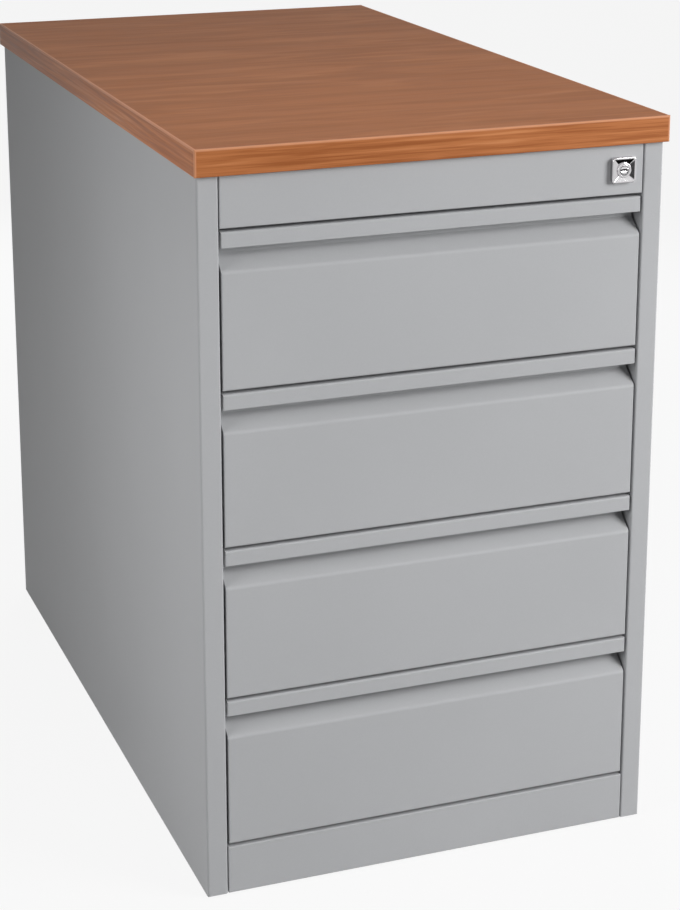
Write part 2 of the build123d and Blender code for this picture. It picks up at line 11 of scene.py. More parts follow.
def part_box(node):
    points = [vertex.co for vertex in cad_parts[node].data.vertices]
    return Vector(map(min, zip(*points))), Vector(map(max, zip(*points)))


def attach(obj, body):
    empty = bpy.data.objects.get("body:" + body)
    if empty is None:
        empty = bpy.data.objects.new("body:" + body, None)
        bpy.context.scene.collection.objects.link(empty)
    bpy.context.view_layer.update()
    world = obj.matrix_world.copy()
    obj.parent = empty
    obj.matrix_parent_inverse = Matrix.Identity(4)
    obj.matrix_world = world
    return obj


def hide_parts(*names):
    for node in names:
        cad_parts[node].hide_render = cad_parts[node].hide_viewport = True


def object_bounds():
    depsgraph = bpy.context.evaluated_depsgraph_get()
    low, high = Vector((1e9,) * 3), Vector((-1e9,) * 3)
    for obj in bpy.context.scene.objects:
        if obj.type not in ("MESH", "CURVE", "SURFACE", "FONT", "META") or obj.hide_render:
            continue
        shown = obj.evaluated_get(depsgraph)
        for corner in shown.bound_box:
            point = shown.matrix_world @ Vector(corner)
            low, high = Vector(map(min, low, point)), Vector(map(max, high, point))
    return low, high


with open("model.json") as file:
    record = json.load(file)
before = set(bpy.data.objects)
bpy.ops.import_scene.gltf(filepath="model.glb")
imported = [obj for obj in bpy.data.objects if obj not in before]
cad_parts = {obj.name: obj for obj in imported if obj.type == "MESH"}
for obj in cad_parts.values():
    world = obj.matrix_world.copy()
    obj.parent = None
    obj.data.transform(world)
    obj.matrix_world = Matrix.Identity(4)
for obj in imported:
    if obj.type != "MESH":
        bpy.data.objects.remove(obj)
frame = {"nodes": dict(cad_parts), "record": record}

bl_info = {
    "name": "Drawer pedestal looks",
    "version": (1, 0, 0),
    "blender": (4, 5, 0),
    "location": "3D View > Sidebar > Pedestal",
    "description": "Finishes, lock face, ball cages and studio for the drawer pedestal",
    "category": "Object",
}

CAD_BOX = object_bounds()
NODES = frame["nodes"]
SLOTS = {row["node"]: row["material_slot"] for row in frame["record"]["subparts"]}
DRAWERS = [
    name for name in frame["record"]["behaviour"]["bodies"]
    if name.startswith("drawer_") and not name.endswith("_runner")
]
MM = 0.001

# Points in each ring of the lock, and steps in each of its rounded edges
RING_POINTS = 96
ROUND_STEPS = 10

# Angles, in degrees, above which an edge is shaded sharp
SHARP_ANGLE = 32
SHARP_ANGLE_OF_LOCK = 12

# Place near the lock that the dark cards face
NEAR_LOCK = (0.18, -0.39, 0.67)

# Width, in millimetres, of the film that the focal length is given for
FILM_WIDTH = 36


def screen_colour(red, green, blue):
    """Linear light, as shaders take it, of a colour from 0 to 255 as a screen shows it."""
    shares = [value / 255 for value in (red, green, blue)]
    return tuple(s / 12.92 if s <= 0.04045 else ((s + 0.055) / 1.055) ** 2.4 for s in shares)


def colour(name, description, red, green, blue):
    return FloatVectorProperty(
        name=name, description=description, subtype="COLOR", size=3, min=0, max=1,
        default=screen_colour(red, green, blue),
    )


def length(name, description, millimetres):
    return FloatProperty(
        name=name, description=description, subtype="DISTANCE", unit="LENGTH", min=0,
        default=millimetres * MM, precision=5,
    )


def share(name, description, value):
    return FloatProperty(
        name=name, description=description, subtype="FACTOR", min=0, max=1, default=value,
    )


def power(name, description, watts):
    return FloatProperty(
        name=name, description=description, subtype="POWER", unit="POWER", min=0, default=watts,
    )


# What a user may change


class PedestalPaint(PropertyGroup):
    grey: colour("Silver grey", "Colour of the powder coat", 172, 173, 175)
    roughness: share("Roughness", "How matt the powder coat is", 0.44)
    peel_width: length("Peel width", "Width of the ripples in the powder coat", 1.6)
    peel_depth: length("Peel depth", "Depth of the ripples in the powder coat", 0.012)
    mottle: share("Mottle", "How much the grey varies from place to place", 0.02)


class PedestalWood(PropertyGroup):
    face: colour("Face", "Main tone of the worktop's laminate", 170, 110, 72)
    face_dark: colour("Face grain", "Tone of the darker grain on the worktop", 153, 97, 62)
    face_light: colour("Face light", "Tone of the lighter figure on the worktop", 182, 123, 84)
    edge: colour("Edging", "Main tone of the edging strips", 177, 110, 65)
    edge_dark: colour("Edging grain", "Tone of the darker streaks in the edging", 147, 84, 43)
    edge_light: colour("Edging light", "Tone of the lighter streaks in the edging", 196, 132, 86)
    # Arris tone: partly a painted highlight along the edging's rounded corners, partly their
    # lighter core
    arris: colour("Arris", "Tone of the rounded corners of the edging", 198, 138, 102)
    arris_highlight_width: length("Arris width", "Width of the light band on the edging's corners", 2.4)
    grain_width: length("Grain width", "Width of the broad grain bands on the worktop", 14)
    grain_length: length("Grain length", "Length of the broad grain bands on the worktop", 150)
    pore_depth: length("Pore depth", "Depth of the printed pores", 0.015)


class PedestalMetal(PropertyGroup):
    chrome: colour("Chrome", "Tone of the lock's bezel", 211, 209, 211)
    zinc: colour("Zinc plate", "Tone of the runners, screws and lock works", 198, 202, 204)
    zinc_warm: colour("Zinc tint", "Warmer tint in the passivated zinc", 202, 200, 191)
    # Slot shade: painted shade, a dark tone painted down in the key slot where shade falls, not the
    # metal's own colour
    slot_shade: colour("Bare metal", "Tone of the unplated metal down in the key slot", 26, 26, 28)


class PedestalPlastic(PropertyGroup):
    black: colour("Black plastic", "Tone of the feet", 34, 34, 36)
    natural: colour("Natural plastic", "Tone of the glides and the bar guides", 224, 221, 209)


class PedestalLock(PropertyGroup):
    corner: length("Corner", "Radius of the bezel's corners", 3.5)
    arris: length("Arris", "Rounding round the bezel's face", 0.8)
    rim: length("Rim", "Width of the flat rim round the recess", 1.0)
    recess_corner: length("Recess corner", "Radius of the recess's corners", 1.0)
    recess_slope: FloatProperty(
        name="Recess slope", description="Fall of the recess's four flat sides over their width",
        min=0, max=1, default=0.25,
    )
    boss_radius: length("Boss radius", "Radius of the round boss in the recess", 7.0)
    boss_height: length("Boss height", "How far the boss stands in front of the rim", 0.3)
    bore_radius: length("Bore radius", "Radius of the bore that the plug turns in", 5.45)
    plug_radius: length("Plug radius", "Radius of the turning plug", 5.4)
    slot_length: length("Key slot length", "Length of the key slot", 7.4)
    slot_width: length("Key slot width", "Width of the key slot", 1.4)
    slot_depth: length("Key slot depth", "Depth of the key slot", 4)
    thread_radius: length("Thread radius", "Outer radius of the thread behind the fascia", 7.95)
    thread_depth: length("Thread depth", "Depth of the thread's grooves", 0.45)
    thread_pitch: length("Thread pitch", "Distance from one thread crest to the next", 1.5)


class PedestalCages(PropertyGroup):
    ball_radius: length("Ball radius", "Radius of the runners' balls", 1.42)
    ball_pitch: length("Ball pitch", "Distance from one ball to the next", 5.4)
    strip_thickness: length("Strip thickness", "Thickness of the strip that holds the balls", 0.5)
    strip_lip: length("Strip lip", "Height of the strip's turned edges", 0.8)


class PedestalStudio(PropertyGroup):
    floor: colour("Floor", "Tone of the floor", 190, 190, 190)
    floor_white: share("Floor white", "Share of white that the floor shows the camera", 0.9)
    eye: FloatVectorProperty(
        name="Camera place", description="Where the camera stands", subtype="TRANSLATION",
        unit="LENGTH", size=3, default=(-0.7517, -2.1551, 1.0938),
    )
    heading: FloatProperty(
        name="Heading", description="Turn of the camera to the right of straight ahead",
        subtype="ANGLE", unit="ROTATION", default=0.35717,
    )
    tilt: FloatProperty(
        name="Tilt", description="Tilt of the camera above level", subtype="ANGLE",
        unit="ROTATION", default=-0.25816,
    )
    lens: FloatProperty(
        name="Focal length", description="Focal length for a 36 mm film", subtype="DISTANCE_CAMERA",
        default=86.23,
    )
    shift: FloatProperty(
        name="Vertical shift", description="Rise or fall of the lens", default=-0.2,
    )
    ambient: share("Ambient light", "Strength of the even light from all around", 0.12)
    key_power: power("Key softbox", "Power of the softbox in front on the right", 93)
    side_power: power("Side softbox", "Power of the softbox on the left", 1.9)
    top_power: power("Top softbox", "Power of the softbox over the worktop", 1.6)
    rear_power: power("Rear softbox", "Power of the softbox behind", 20)


SETTINGS = {
    "pedestal_paint": PedestalPaint,
    "pedestal_wood": PedestalWood,
    "pedestal_metal": PedestalMetal,
    "pedestal_plastic": PedestalPlastic,
    "pedestal_lock": PedestalLock,
    "pedestal_cages": PedestalCages,
    "pedestal_studio": PedestalStudio,
}


# Shader nodes


class Value:
    """A socket that takes part in sums: an expression on values adds its Math nodes."""

    def __init__(self, nodes, socket):
        self.nodes = nodes
        self.socket = socket

    def sibling(self, name):
        """Another output of the same node."""
        return Value(self.nodes, self.socket.node.outputs[name])

    def math(self, operation, *others):
        sockets = dict(enumerate((self, *others)))
        return self.nodes.add("ShaderNodeMath", {"operation": operation}, sockets)

    def swapped(self, operation, other):
        return self.nodes.add("ShaderNodeMath", {"operation": operation}, {0: other, 1: self})

    def __add__(self, other):
        return self.math("ADD", other)

    def __sub__(self, other):
        return self.math("SUBTRACT", other)

    def __rsub__(self, other):
        return self.swapped("SUBTRACT", other)

    def __mul__(self, other):
        return self.math("MULTIPLY", other)

    def __abs__(self):
        return self.math("ABSOLUTE")

    __radd__ = __add__
    __rmul__ = __mul__


# Sockets of a Mix node that mixes colours
MIX_FACTOR, MIX_FIRST, MIX_SECOND, MIX_RESULT = 0, 6, 7, 2


class Nodes:
    """The nodes of one material or world."""

    def __init__(self, tree):
        self.tree = tree

    def add(self, kind, settings=None, sockets=None, output=0):
        """Adds a node: its settings are set first, then its sockets' values or links."""
        node = self.tree.nodes.new(kind)
        for setting, value in (settings or {}).items():
            setattr(node, setting, value)
        for socket, value in (sockets or {}).items():
            self.give(node.inputs[socket], value)
        return Value(self, node.outputs[output])

    def give(self, socket, value):
        """Links a value to a socket, or sets a plain number or colour on it."""
        if isinstance(value, Value):
            self.tree.links.new(value.socket, socket)
        elif socket.type == "RGBA":
            socket.default_value = (*value[:3], 1)
        else:
            socket.default_value = value

    def mixed(self, factor, first, second):
        """A colour between two others."""
        sockets = {MIX_FACTOR: factor, MIX_FIRST: first, MIX_SECOND: second}
        return self.add("ShaderNodeMix", {"data_type": "RGBA"}, sockets, MIX_RESULT)

    def spread(self, value, low, high, to_low=0.0, to_high=1.0):
        """A value from low to high, spread smoothly over another range and held at its ends."""
        sockets = {
            "Value": value, "From Min": low, "From Max": high,
            "To Min": to_low, "To Max": to_high,
        }
        return self.add("ShaderNodeMapRange", {"interpolation_type": "SMOOTHSTEP"}, sockets)

    def place(self, stretch):
        """Places on the surface in the part's own frame, times a stretch along each axis."""
        place = self.add("ShaderNodeTexCoord", output="Object")
        return self.add("ShaderNodeVectorMath", {"operation": "MULTIPLY"}, {0: place, 1: stretch})

    def noise(self, stretch, detail=2.0, roughness=0.5, distortion=0.0):
        """Noise from 0 to 1 whose cells are one unit of the stretched place."""
        sockets = {
            "Vector": self.place(stretch), "Scale": 1.0, "Detail": detail,
            "Roughness": roughness, "Distortion": distortion,
        }
        return self.add("ShaderNodeTexNoise", {"noise_dimensions": "3D"}, sockets, "Fac")

    def shown(self):
        """One for what is seen, also in a reflection or through glass, and nought for light."""
        seen = self.add("ShaderNodeLightPath", output="Is Camera Ray")
        seen = seen.math("MAXIMUM", seen.sibling("Is Glossy Ray"))
        return seen.math("MAXIMUM", self.add("ShaderNodeLightPath", output="Is Transmission Ray"))


class Finish(Nodes):
    """A material and its nodes, around the one shader that the surface shows."""

    def __init__(self, name, **constants):
        self.material = bpy.data.materials.new(name)
        self.material.use_nodes = True
        super().__init__(self.material.node_tree)
        self.shader = self.tree.nodes["Principled BSDF"]
        for socket, value in constants.items():
            self.feed(socket.replace("_", " "), value)

    def feed(self, socket, value):
        self.give(self.shader.inputs[socket], value)

    def bump(self, height, depth, strength=1.0):
        """Feeds the shader's normal with a height from 0 to 1 that stands for a depth in metres."""
        sockets = {"Strength": strength, "Distance": depth, "Height": height}
        self.feed("Normal", self.add("ShaderNodeBump", {}, sockets))


# Materials


def powder_coat():
    paint = bpy.context.scene.pedestal_paint
    finish = Finish("powder_coat", Specular_IOR_Level=0.1)
    peel_cells, cloud_cells = 1 / paint.peel_width, 5
    peel = finish.noise((peel_cells,) * 3, detail=2.5, roughness=0.55)
    cloud = finish.noise((cloud_cells,) * 3, detail=2)
    tone = finish.spread(cloud * 0.6 + peel * 0.4, 0.3, 0.7)
    darker = [c * (1 - paint.mottle) for c in paint.grey]
    lighter = [min(1, c * (1 + paint.mottle)) for c in paint.grey]
    smooth, matt = paint.roughness - 0.04, paint.roughness + 0.05
    finish.feed("Base Color", finish.mixed(tone, darker, lighter))
    finish.feed("Roughness", finish.spread(peel, 0.25, 0.75, smooth, matt))
    finish.bump(peel, paint.peel_depth)
    return finish.material


def wood_laminate():
    """Fine, low grain along the worktop's width, as on the photographed board."""
    wood = bpy.context.scene.pedestal_wood
    finish = Finish("wood_laminate", Specular_IOR_Level=0.04)
    across, along = 1 / wood.grain_width, 1 / wood.grain_length

    def grain(finer_along, finer_across, **detail):
        stretch = (along * finer_along, across * finer_across, across * finer_across)
        return finish.noise(stretch, **detail)

    bands = grain(1, 1, detail=3, roughness=0.5, distortion=0.6)
    figure = grain(0.9, 0.35, detail=2, distortion=0.9)
    fibres = grain(3, 4.5, detail=3, roughness=0.6, distortion=0.4)
    pores = grain(10, 20, detail=2, roughness=0.5)
    tone = finish.spread(bands * 0.5 + figure * 0.25 + fibres * 0.25, 0.34, 0.64)
    light = finish.spread(figure * 0.7 + fibres * 0.3, 0.48, 0.7) * 0.6
    speck = finish.spread(pores, 0.56, 0.74) * 0.25
    base = finish.mixed(tone, wood.face_dark, wood.face)
    base = finish.mixed(light, base, wood.face_light)
    finish.feed("Base Color", finish.mixed(speck, base, wood.face_dark))
    finish.feed("Roughness", finish.spread(fibres, 0.3, 0.7, 0.5, 0.58))
    finish.bump(pores, wood.pore_depth, 0.5)
    return finish.material


def wood_edging(name, grain_axis):
    """Printed edging strip with streaks along one axis, and rounded corners painted lighter: partly
    a painted highlight, partly their lighter core.
    """
    wood = bpy.context.scene.pedestal_wood
    finish = Finish(name, Specular_IOR_Level=0.12)
    along, across, finer = 5.0, 230.0, 3.5
    stretch = {"X": (along, across, across), "Y": (across, along, across)}[grain_axis]
    streaks = finish.noise(stretch, detail=3, roughness=0.6, distortion=0.4)
    fine = finish.noise([finer * cells for cells in stretch], detail=2, roughness=0.6)
    tone = finish.spread(streaks * 0.7 + fine * 0.3, 0.36, 0.58)
    base = finish.mixed(tone, wood.edge_dark, wood.edge)
    base = finish.mixed(finish.spread(streaks, 0.54, 0.74) * 0.8, base, wood.edge_light)
    low, high = CAD_BOX
    x = finish.add("ShaderNodeSeparateXYZ", {}, {0: finish.place((1, 1, 1))}, "X")
    gaps = (high.x - abs(x), high.y - abs(x.sibling("Y")), high.z - x.sibling("Z"))
    furthest = gaps[0].math("MAXIMUM", gaps[1]).math("MAXIMUM", gaps[2])
    from_corner = gaps[0] + gaps[1] + gaps[2] - furthest
    # Painted highlight, together with the arris's lighter core: the edging is painted lighter
    # within this width of the board's outer edges and corners
    corner = 1 - finish.spread(from_corner, 0.5 * wood.arris_highlight_width, wood.arris_highlight_width)
    finish.feed("Base Color", finish.mixed(corner, base, wood.arris))
    finish.feed("Roughness", finish.spread(fine, 0.3, 0.7, 0.4, 0.5))
    finish.bump(fine, wood.pore_depth, 0.4)
    return finish.material


def chrome_plate(name, roughness, shaded_from=None):
    """Bright chrome, with painted shade, a dark tone, behind a depth if one is given."""
    metal = bpy.context.scene.pedestal_metal
    finish = Finish(name, Metallic=1.0, Base_Color=metal.chrome)
    if shaded_from is not None:
        place = finish.add("ShaderNodeSeparateXYZ", {}, {0: finish.place((1, 1, 1))}, "Y")
        # Painted shade: everything further than this depth behind the plug's face is painted dark,
        # as the key slot's shade
        deep = finish.spread(place, shaded_from, shaded_from + 0.3 * MM)
        finish.feed("Base Color", finish.mixed(deep, metal.chrome, metal.slot_shade))
    smudge_cells = 260
    smudge = finish.noise((smudge_cells,) * 3, detail=3, roughness=0.6)
    finish.feed("Roughness", finish.spread(smudge, 0.35, 0.75, roughness, roughness * 2.2))
    return finish.material


def zinc_plate(name, roughness, rolled_axis="Y"):
    """Bright zinc with faint lines along the rolling direction and a passivation tint."""
    metal = bpy.context.scene.pedestal_metal
    finish = Finish(name, Metallic=1.0)
    along, across, line_depth = 14.0, 900.0, 0.006 * MM
    stretch = {"Y": (across, along, across), "Z": (across, across, along)}[rolled_axis]
    lines = finish.noise(stretch, detail=3, roughness=0.6)
    tint_cells = (38, 12, 38)
    tint = finish.noise(tint_cells, detail=2, distortion=0.4)
    warm = finish.spread(tint, 0.35, 0.7)
    finish.feed("Base Color", finish.mixed(warm, metal.zinc, metal.zinc_warm))
    finish.feed("Roughness", finish.spread(lines, 0.25, 0.75, roughness, roughness + 0.16))
    finish.bump(lines, line_depth, 0.6)
    return finish.material


def moulded_plastic(name, tone, roughness):
    finish = Finish(name, Specular_IOR_Level=0.45)
    grain_cells, cloud_cells, grain_depth = 1400, 60, 0.02 * MM
    grain = finish.noise((grain_cells,) * 3, detail=2)
    cloud = finish.spread(finish.noise((cloud_cells,) * 3, detail=2), 0.3, 0.7)
    darker = [c * 0.86 for c in tone]
    finish.feed("Base Color", finish.mixed(cloud, darker, tone))
    finish.feed("Roughness", finish.spread(grain, 0.3, 0.7, roughness - 0.05, roughness + 0.08))
    finish.bump(grain, grain_depth, 0.7)
    return finish.material


# Shapes


def outline(half_x, half_z, corner, y):
    """Points round an upright rectangle with rounded corners, spaced evenly by angle.
    It is a circle where the corner is as large as both halves."""
    core_x, core_z = half_x - corner, half_z - corner
    points = []
    for step in range(RING_POINTS):
        angle = tau * step / RING_POINTS
        c, s = abs(cos(angle)), abs(sin(angle))
        if half_x * s <= core_z * c:
            reach = half_x / c
        elif half_z * c <= core_x * s:
            reach = half_z / s
        else:
            mid = core_x * c + core_z * s
            reach = mid + sqrt(mid * mid - core_x**2 - core_z**2 + corner**2)
        points.append(Vector((reach * cos(angle), y, reach * sin(angle))))
    return points


def circle(radius, y):
    return outline(radius, radius, radius, y)


def skin(form, rings, closed=False):
    """Faces between rings of as many points each, and from the last ring to the first if closed."""
    loops = [[form.verts.new(point) for point in ring] for ring in rings]
    pairs = list(zip(loops, loops[1:])) + ([(loops[-1], loops[0])] if closed else [])
    for first, second in pairs:
        for i in range(len(first)):
            j = (i + 1) % len(first)
            form.faces.new((first[i], first[j], second[j], second[i]))
    return loops


def make_piece(name, form, material, sharp_angle=SHARP_ANGLE):
    """A smooth-shaded object from a form, with its outward faces and sharp edges found."""
    bmesh.ops.recalc_face_normals(form, faces=form.faces)
    mesh = bpy.data.meshes.new(name)
    form.to_mesh(mesh)
    form.free()
    for face in mesh.polygons:
        face.use_smooth = True
    mesh.set_sharp_from_angle(angle=radians(sharp_angle))
    mesh.materials.append(material)
    piece = bpy.data.objects.new(name, mesh)
    bpy.context.scene.collection.objects.link(piece)
    return piece


def quarter(half, y, radius):
    """Sizes and places round a quarter arc, from the side of a step to its face."""
    turns = [pi / 2 * step / ROUND_STEPS for step in range(ROUND_STEPS + 1)]
    return [(half - radius * (1 - cos(turn)), y - radius * sin(turn)) for turn in turns]


# Pieces


def in_slot(*slots):
    """CAD nodes whose material slot is one of these."""
    return [NODES[name] for name, slot in SLOTS.items() if slot in slots]


def dress(nodes, material):
    """Gives CAD nodes a material in place of their plain one."""
    for node in nodes:
        for place in node.material_slots:
            place.material = material


def lock_case_rings(lock, low, high, face_y):
    """Rings of the lock's case: bezel, recess with four flat sides, boss, bore and thread."""
    boss_rounding, bore_chamfer, chamfer_start = 0.5 * MM, 0.5 * MM, 0.05 * MM
    half = (high.x - low.x) / 2
    rings = [outline(half, half, lock.corner, face_y)]
    bezel_y = low.y + lock.boss_height
    for size, y in quarter(half, bezel_y + lock.arris, lock.arris):
        rings.append(outline(size, size, lock.corner - (half - size), y))
    rim = half - lock.arris - lock.rim
    rings.append(outline(rim, rim, lock.recess_corner, bezel_y))
    foot = circle(lock.boss_radius, bezel_y)
    for point in foot:
        point.y += (rim - max(abs(point.x), abs(point.z))) * lock.recess_slope
    rings.append(foot)
    for radius, y in quarter(lock.boss_radius, low.y + boss_rounding, boss_rounding):
        rings.append(circle(radius, y))
    rings.append(circle(lock.bore_radius + bore_chamfer, low.y + chamfer_start))
    rings.append(circle(lock.bore_radius, low.y + bore_chamfer))
    rings.append(circle(lock.bore_radius, high.y))
    crest, root = lock.thread_radius, lock.thread_radius - lock.thread_depth
    crest_share, root_share = 0.3, 0.8
    turn_y = high.y
    while turn_y > face_y + lock.thread_pitch:
        rings.append(circle(crest, turn_y - crest_share * lock.thread_pitch))
        rings.append(circle(root, turn_y - root_share * lock.thread_pitch))
        turn_y -= lock.thread_pitch
    rings.append(circle(crest, face_y))
    return rings


def lock_plug_rings(lock, front_y, back_y):
    """Rings of the turning plug: its round side, its grooved face and its key slot."""
    rounding = 0.35 * MM
    rings = [circle(lock.plug_radius, back_y)]
    for radius, y in quarter(lock.plug_radius, front_y + rounding, rounding):
        rings.append(circle(radius, y))
    # Each ring of the groove in millimetres: how far in from the side, and how far behind the face
    for inward, deep in ((0.8, 0.0), (0.95, 1.0), (1.35, 1.0), (1.5, 0.0)):
        rings.append(circle(lock.plug_radius - inward * MM, front_y + deep * MM))
    bulge, mouth_width, mouth_depth = 0.1 * MM, 0.7 * MM, 0.2 * MM
    half_x, half_z = lock.slot_length / 2, lock.slot_width / 2
    corner = half_z * 0.8
    rings.append(outline(half_x, half_z + mouth_width, half_z, front_y - bulge))
    rings.append(outline(half_x, half_z, corner, front_y + mouth_depth))
    rings.append(outline(half_x, half_z, corner, front_y + lock.slot_depth))
    return rings


class PEDESTAL_OT_build_lock_face(Operator):
    """Build the chromed lock with its recessed bezel, and the plug that turns in it"""

    bl_idname = "pedestal.build_lock_face"
    bl_label = "Build lock face"

    def execute(self, context):
        lock = context.scene.pedestal_lock
        shade_depth = 0.4 * MM
        low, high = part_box("lock_housing")
        plug_low, plug_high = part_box("lock_plug")
        place = Matrix.Translation(((low.x + high.x) / 2, 0, (low.z + high.z) / 2))
        face_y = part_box("lock_fascia")[0].y

        form = bmesh.new()
        skin(form, lock_case_rings(lock, low, high, face_y), closed=True)
        form.transform(place)
        chrome = chrome_plate("lock_chrome", roughness=0.05)
        case = make_piece("lock_case", form, chrome, SHARP_ANGLE_OF_LOCK)
        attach(case, "carcass")
        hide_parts("lock_housing")

        form = bmesh.new()
        loops = skin(form, lock_plug_rings(lock, plug_low.y, plug_high.y))
        form.faces.new(loops[0])
        form.faces.new(loops[-1])
        form.transform(place)
        # The key slot and plug are painted dark, as shade, from this depth behind the plug's face
        shaded_from = plug_low.y + shade_depth
        chrome = chrome_plate("lock_barrel", roughness=0.14, shaded_from=shaded_from)
        plug = make_piece("lock_plug_face", form, chrome, SHARP_ANGLE_OF_LOCK)
        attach(plug, "lock_barrel")
        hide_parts("lock_plug")
        return {"FINISHED"}


def pad_boxes(node):
    """Lowest and highest corner of each glide pad in a CAD node."""
    form = bmesh.new()
    form.from_mesh(node.data)
    bmesh.ops.remove_doubles(form, verts=form.verts, dist=0.01 * MM)
    waiting = set(form.verts)
    boxes = []
    while waiting:
        island, edge = set(), [min(waiting, key=lambda vert: vert.index)]
        while edge:
            vert = edge.pop()
            if vert not in island:
                island.add(vert)
                edge.extend(link.other_vert(vert) for link in vert.link_edges)
        waiting -= island
        corners = [
            [pick(vert.co[axis] for vert in island) for axis in range(3)] for pick in (min, max)
        ]
        boxes.append(tuple(Vector(corner) for corner in corners))
    form.free()
    return boxes


def ball_row(form, cages, low, high):
    """One thin strip with turned edges and a row of balls through it, where a glide pad is."""
    middle = (low + high) / 2
    count = int((high.y - low.y - 2 * cages.ball_radius) / cages.ball_pitch) + 1
    start = middle.y - cages.ball_pitch * (count - 1) / 2
    for number in range(count):
        place = Matrix.Translation((middle.x, start + number * cages.ball_pitch, middle.z))
        bmesh.ops.create_icosphere(form, subdivisions=2, radius=cages.ball_radius, matrix=place)
    side_gap = 0.1 * MM
    half_x = (high.x - low.x) / 2 - side_gap
    half_z, lip = cages.strip_thickness / 2, cages.strip_lip / 2
    inner_x = half_x - cages.strip_thickness
    profile = [
        (-half_x, -lip), (-inner_x, -lip), (-inner_x, -half_z),
        (inner_x, -half_z), (inner_x, -lip), (half_x, -lip),
        (half_x, lip), (inner_x, lip), (inner_x, half_z),
        (-inner_x, half_z), (-inner_x, lip), (-half_x, lip),
    ]
    rings = [[Vector((middle.x + x, y, middle.z + z)) for x, z in profile] for y in (low.y, high.y)]
    loops = skin(form, rings)
    form.faces.new(loops[0])
    form.faces.new(loops[1])


class PEDESTAL_OT_build_ball_cages(Operator):
    """Build the runners' ball cages in place of the glide pads that stand for them"""

    bl_idname = "pedestal.build_ball_cages"
    bl_label = "Build ball cages"

    def execute(self, context):
        steel = zinc_plate("cage_steel", roughness=0.16)
        for drawer in DRAWERS:
            form = bmesh.new()
            for low, high in pad_boxes(NODES[f"{drawer}_runner_pads"]):
                ball_row(form, context.scene.pedestal_cages, low, high)
            cages = make_piece(f"{drawer}_ball_cages", form, steel)
            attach(cages, f"{drawer}_runner")
            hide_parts(f"{drawer}_runner_pads")
        return {"FINISHED"}


class PEDESTAL_OT_paint_sheet_metal(Operator):
    """Give the panels, drawer fronts and drawer boxes their silver-grey powder coat"""

    bl_idname = "pedestal.paint_sheet_metal"
    bl_label = "Paint sheet metal"

    def execute(self, context):
        dress(in_slot("powder_coat"), powder_coat())
        return {"FINISHED"}


class PEDESTAL_OT_finish_worktop(Operator):
    """Give the worktop its wood laminate and its edging strips"""

    bl_idname = "pedestal.finish_worktop"
    bl_label = "Finish worktop"

    def execute(self, context):
        dress([NODES["worktop_board"]], wood_laminate())
        dress([NODES["worktop_end_edging"]], wood_edging("end_edging", "X"))
        dress([NODES["worktop_side_edging"]], wood_edging("side_edging", "Y"))
        return {"FINISHED"}


class PEDESTAL_OT_plate_runners(Operator):
    """Give the telescopic runners their bright zinc plate"""

    bl_idname = "pedestal.plate_runners"
    bl_label = "Plate runners"

    def execute(self, context):
        dress(in_slot("runner_zinc"), zinc_plate("runner_zinc", roughness=0.26))
        return {"FINISHED"}


class PEDESTAL_OT_plate_fasteners(Operator):
    """Give the screws, rivets and nuts their zinc plate"""

    bl_idname = "pedestal.plate_fasteners"
    bl_label = "Plate fasteners"

    def execute(self, context):
        dress(in_slot("zinc_fasteners"), zinc_plate("fastener_zinc", roughness=0.3))
        return {"FINISHED"}


class PEDESTAL_OT_finish_lock_works(Operator):
    """Give the lock's cam, bar and catches their zinc plate"""

    bl_idname = "pedestal.finish_lock_works"
    bl_label = "Finish lock works"

    def execute(self, context):
        zinc = zinc_plate("lock_zinc", roughness=0.3, rolled_axis="Z")
        dress(in_slot("lock_zinc"), zinc)
        return {"FINISHED"}


class PEDESTAL_OT_mould_plastics(Operator):
    """Give the feet, the glides and the bar guides their moulded plastic"""

    bl_idname = "pedestal.mould_plastics"
    bl_label = "Mould plastics"

    def execute(self, context):
        plastic = context.scene.pedestal_plastic
        black = moulded_plastic("foot_plastic", plastic.black, roughness=0.5)
        dress(in_slot("foot_plastic"), black)
        natural = moulded_plastic("glide_plastic", plastic.natural, roughness=0.42)
        dress(in_slot("glide_plastic"), natural)
        return {"FINISHED"}


# Studio


def softbox(name, place, target, width, height, watts, spread=180):
    """Rectangular lamp that faces a target and spreads its light over an angle in degrees."""
    light = bpy.data.lights.new(name, "AREA")
    light.shape = "RECTANGLE"
    light.size = width
    light.size_y = height
    light.energy = watts
    light.spread = radians(spread)
    lamp = bpy.data.objects.new(name, light)
    bpy.context.scene.collection.objects.link(lamp)
    lamp.location = place
    lamp.rotation_euler = (Vector(target) - Vector(place)).to_track_quat("-Z", "Y").to_euler()
    lamp.visible_camera = False
    return lamp


def flat_sheet(name, half_x, half_y, material):
    form = bmesh.new()
    stretch = Matrix.Diagonal((half_x, half_y, 1, 1))
    bmesh.ops.create_grid(form, x_segments=2, y_segments=2, size=1, matrix=stretch)
    return make_piece(name, form, material)


def studio_floor(tone, white):
    """Pale floor that keeps the shadow and is seen nearly white."""
    finish = Finish("studio_floor", Roughness=0.9, Base_Color=tone, Specular_IOR_Level=0.1)
    glow = finish.add("ShaderNodeEmission", {}, {"Color": (1, 1, 1), "Strength": 1.0})
    lit = Value(finish, finish.shader.outputs[0])
    surface = finish.add("ShaderNodeMixShader", {}, {0: finish.shown() * white, 1: lit, 2: glow})
    finish.give(finish.tree.nodes["Material Output"].inputs["Surface"], surface)
    return flat_sheet("studio_floor", half_x=30, half_y=30, material=finish.material)


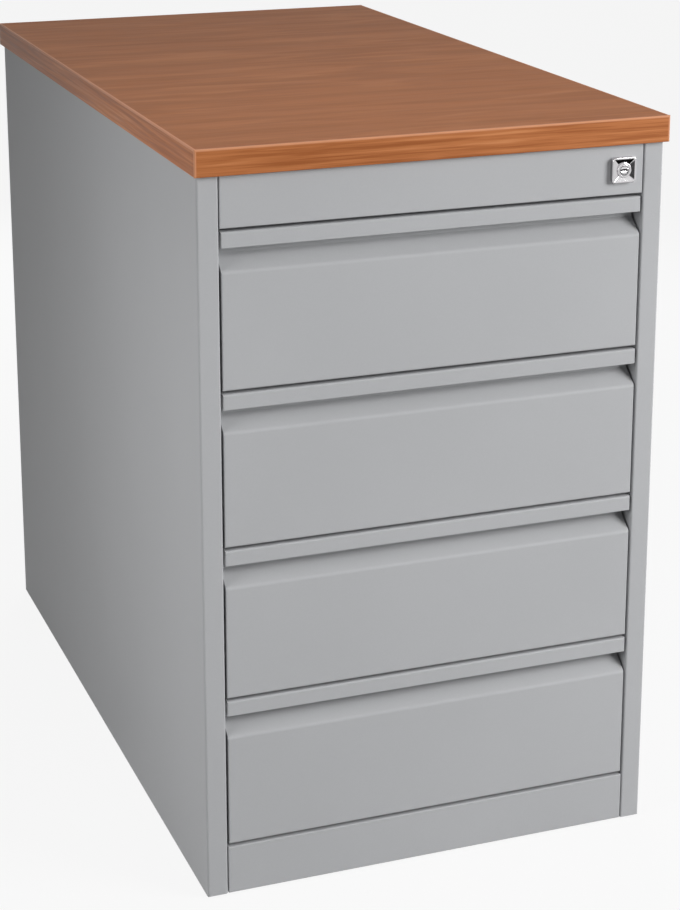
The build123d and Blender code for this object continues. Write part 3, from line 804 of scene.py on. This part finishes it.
def dark_card(name, place, target, width, height, tone):
    """Dark card that only reflections see, as stands beside polished metal in a studio."""
    colour_of_card = (tone, tone, tone)
    finish = Finish(
        f"{name}_felt", Roughness=0.9, Base_Color=colour_of_card, Specular_IOR_Level=0,
    )
    card = flat_sheet(name, width / 2, height / 2, finish.material)
    card.location = place
    card.rotation_euler = (Vector(target) - Vector(place)).to_track_quat("-Z", "Y").to_euler()
    card.visible_camera = False
    card.visible_diffuse = False
    card.visible_transmission = False
    card.visible_shadow = False
    return card


def studio_world(ambient):
    """Even light, with white behind the object where it is seen or reflected."""
    world = bpy.data.worlds.new("studio")
    bpy.context.scene.world = world
    world.use_nodes = True
    nodes = Nodes(world.node_tree)
    back = nodes.tree.nodes["Background"]
    nodes.give(back.inputs["Color"], (1, 1, 1))
    nodes.give(back.inputs["Strength"], ambient + (1 - ambient) * nodes.shown())


def studio_camera(studio):
    camera = bpy.data.objects.new("camera", bpy.data.cameras.new("camera"))
    bpy.context.scene.collection.objects.link(camera)
    camera.location = studio.eye
    camera.rotation_euler = Euler((pi / 2 + studio.tilt, 0, -studio.heading))
    camera.data.sensor_width = FILM_WIDTH
    camera.data.lens = studio.lens
    camera.data.shift_y = studio.shift
    camera.data.clip_end = 200
    bpy.context.scene.camera = camera


class PEDESTAL_OT_set_studio(Operator):
    """Set up the pale floor, the softboxes, the even light and the camera"""

    bl_idname = "pedestal.set_studio"
    bl_label = "Set studio"

    def execute(self, context):
        studio = context.scene.pedestal_studio
        studio_floor(studio.floor, studio.floor_white)
        dark_card(
            "low_card", place=(0.55, -0.92, 0.2), target=NEAR_LOCK,
            width=0.5, height=0.5, tone=0.01,
        )
        dark_card(
            "front_card", place=(0.05, -1.66, 0.4), target=NEAR_LOCK,
            width=0.4, height=0.5, tone=0.12,
        )
        studio_world(studio.ambient)
        softbox(
            "key_softbox", place=(2.0, -2.15, 1.45), target=(0, -0.39, 0.4),
            width=1.4, height=1.4, watts=studio.key_power,
        )
        softbox(
            "side_softbox", place=(-1.25, -0.65, 0.8), target=(-0.23, -0.39, 0.33),
            width=0.6, height=0.9, watts=studio.side_power, spread=72,
        )
        softbox(
            "top_softbox", place=(0, -0.34, 1.5), target=(0, -0.34, 0.72),
            width=0.6, height=0.25, watts=studio.top_power,
        )
        rear = softbox(
            "rear_softbox", place=(0.8, 2.4, 0.7), target=(0, 0.39, 0.4),
            width=1.2, height=0.9, watts=studio.rear_power, spread=120,
        )
        rear.visible_glossy = False
        studio_camera(studio)
        context.scene.view_settings.view_transform = "Standard"
        return {"FINISHED"}


class PEDESTAL_PT_looks(Panel):
    """Settings and steps of the pedestal's looks"""

    bl_label = "Drawer pedestal"
    bl_idname = "PEDESTAL_PT_looks"
    bl_space_type = "VIEW_3D"
    bl_region_type = "UI"
    bl_category = "Pedestal"

    def draw(self, context):
        for name, group in SETTINGS.items():
            box = self.layout.box()
            for setting in group.__annotations__:
                box.prop(getattr(context.scene, name), setting)
        for step in STEPS:
            self.layout.operator(step.bl_idname)


STEPS = [
    PEDESTAL_OT_paint_sheet_metal,
    PEDESTAL_OT_finish_worktop,
    PEDESTAL_OT_plate_runners,
    PEDESTAL_OT_plate_fasteners,
    PEDESTAL_OT_finish_lock_works,
    PEDESTAL_OT_mould_plastics,
    PEDESTAL_OT_build_lock_face,
    PEDESTAL_OT_build_ball_cages,
    PEDESTAL_OT_set_studio,
]


def register():
    for name, group in SETTINGS.items():
        bpy.utils.register_class(group)
        setattr(bpy.types.Scene, name, PointerProperty(type=group))
    for step in STEPS:
        bpy.utils.register_class(step)
    bpy.utils.register_class(PEDESTAL_PT_looks)


def unregister():
    bpy.utils.unregister_class(PEDESTAL_PT_looks)
    for step in reversed(STEPS):
        bpy.utils.unregister_class(step)
    for name, group in reversed(SETTINGS.items()):
        delattr(bpy.types.Scene, name)
        bpy.utils.unregister_class(group)


def main():
    register()
    for step in STEPS:
        family, action = step.bl_idname.split(".")
        getattr(getattr(bpy.ops, family), action)()


if __name__ == "__main__":
    main()
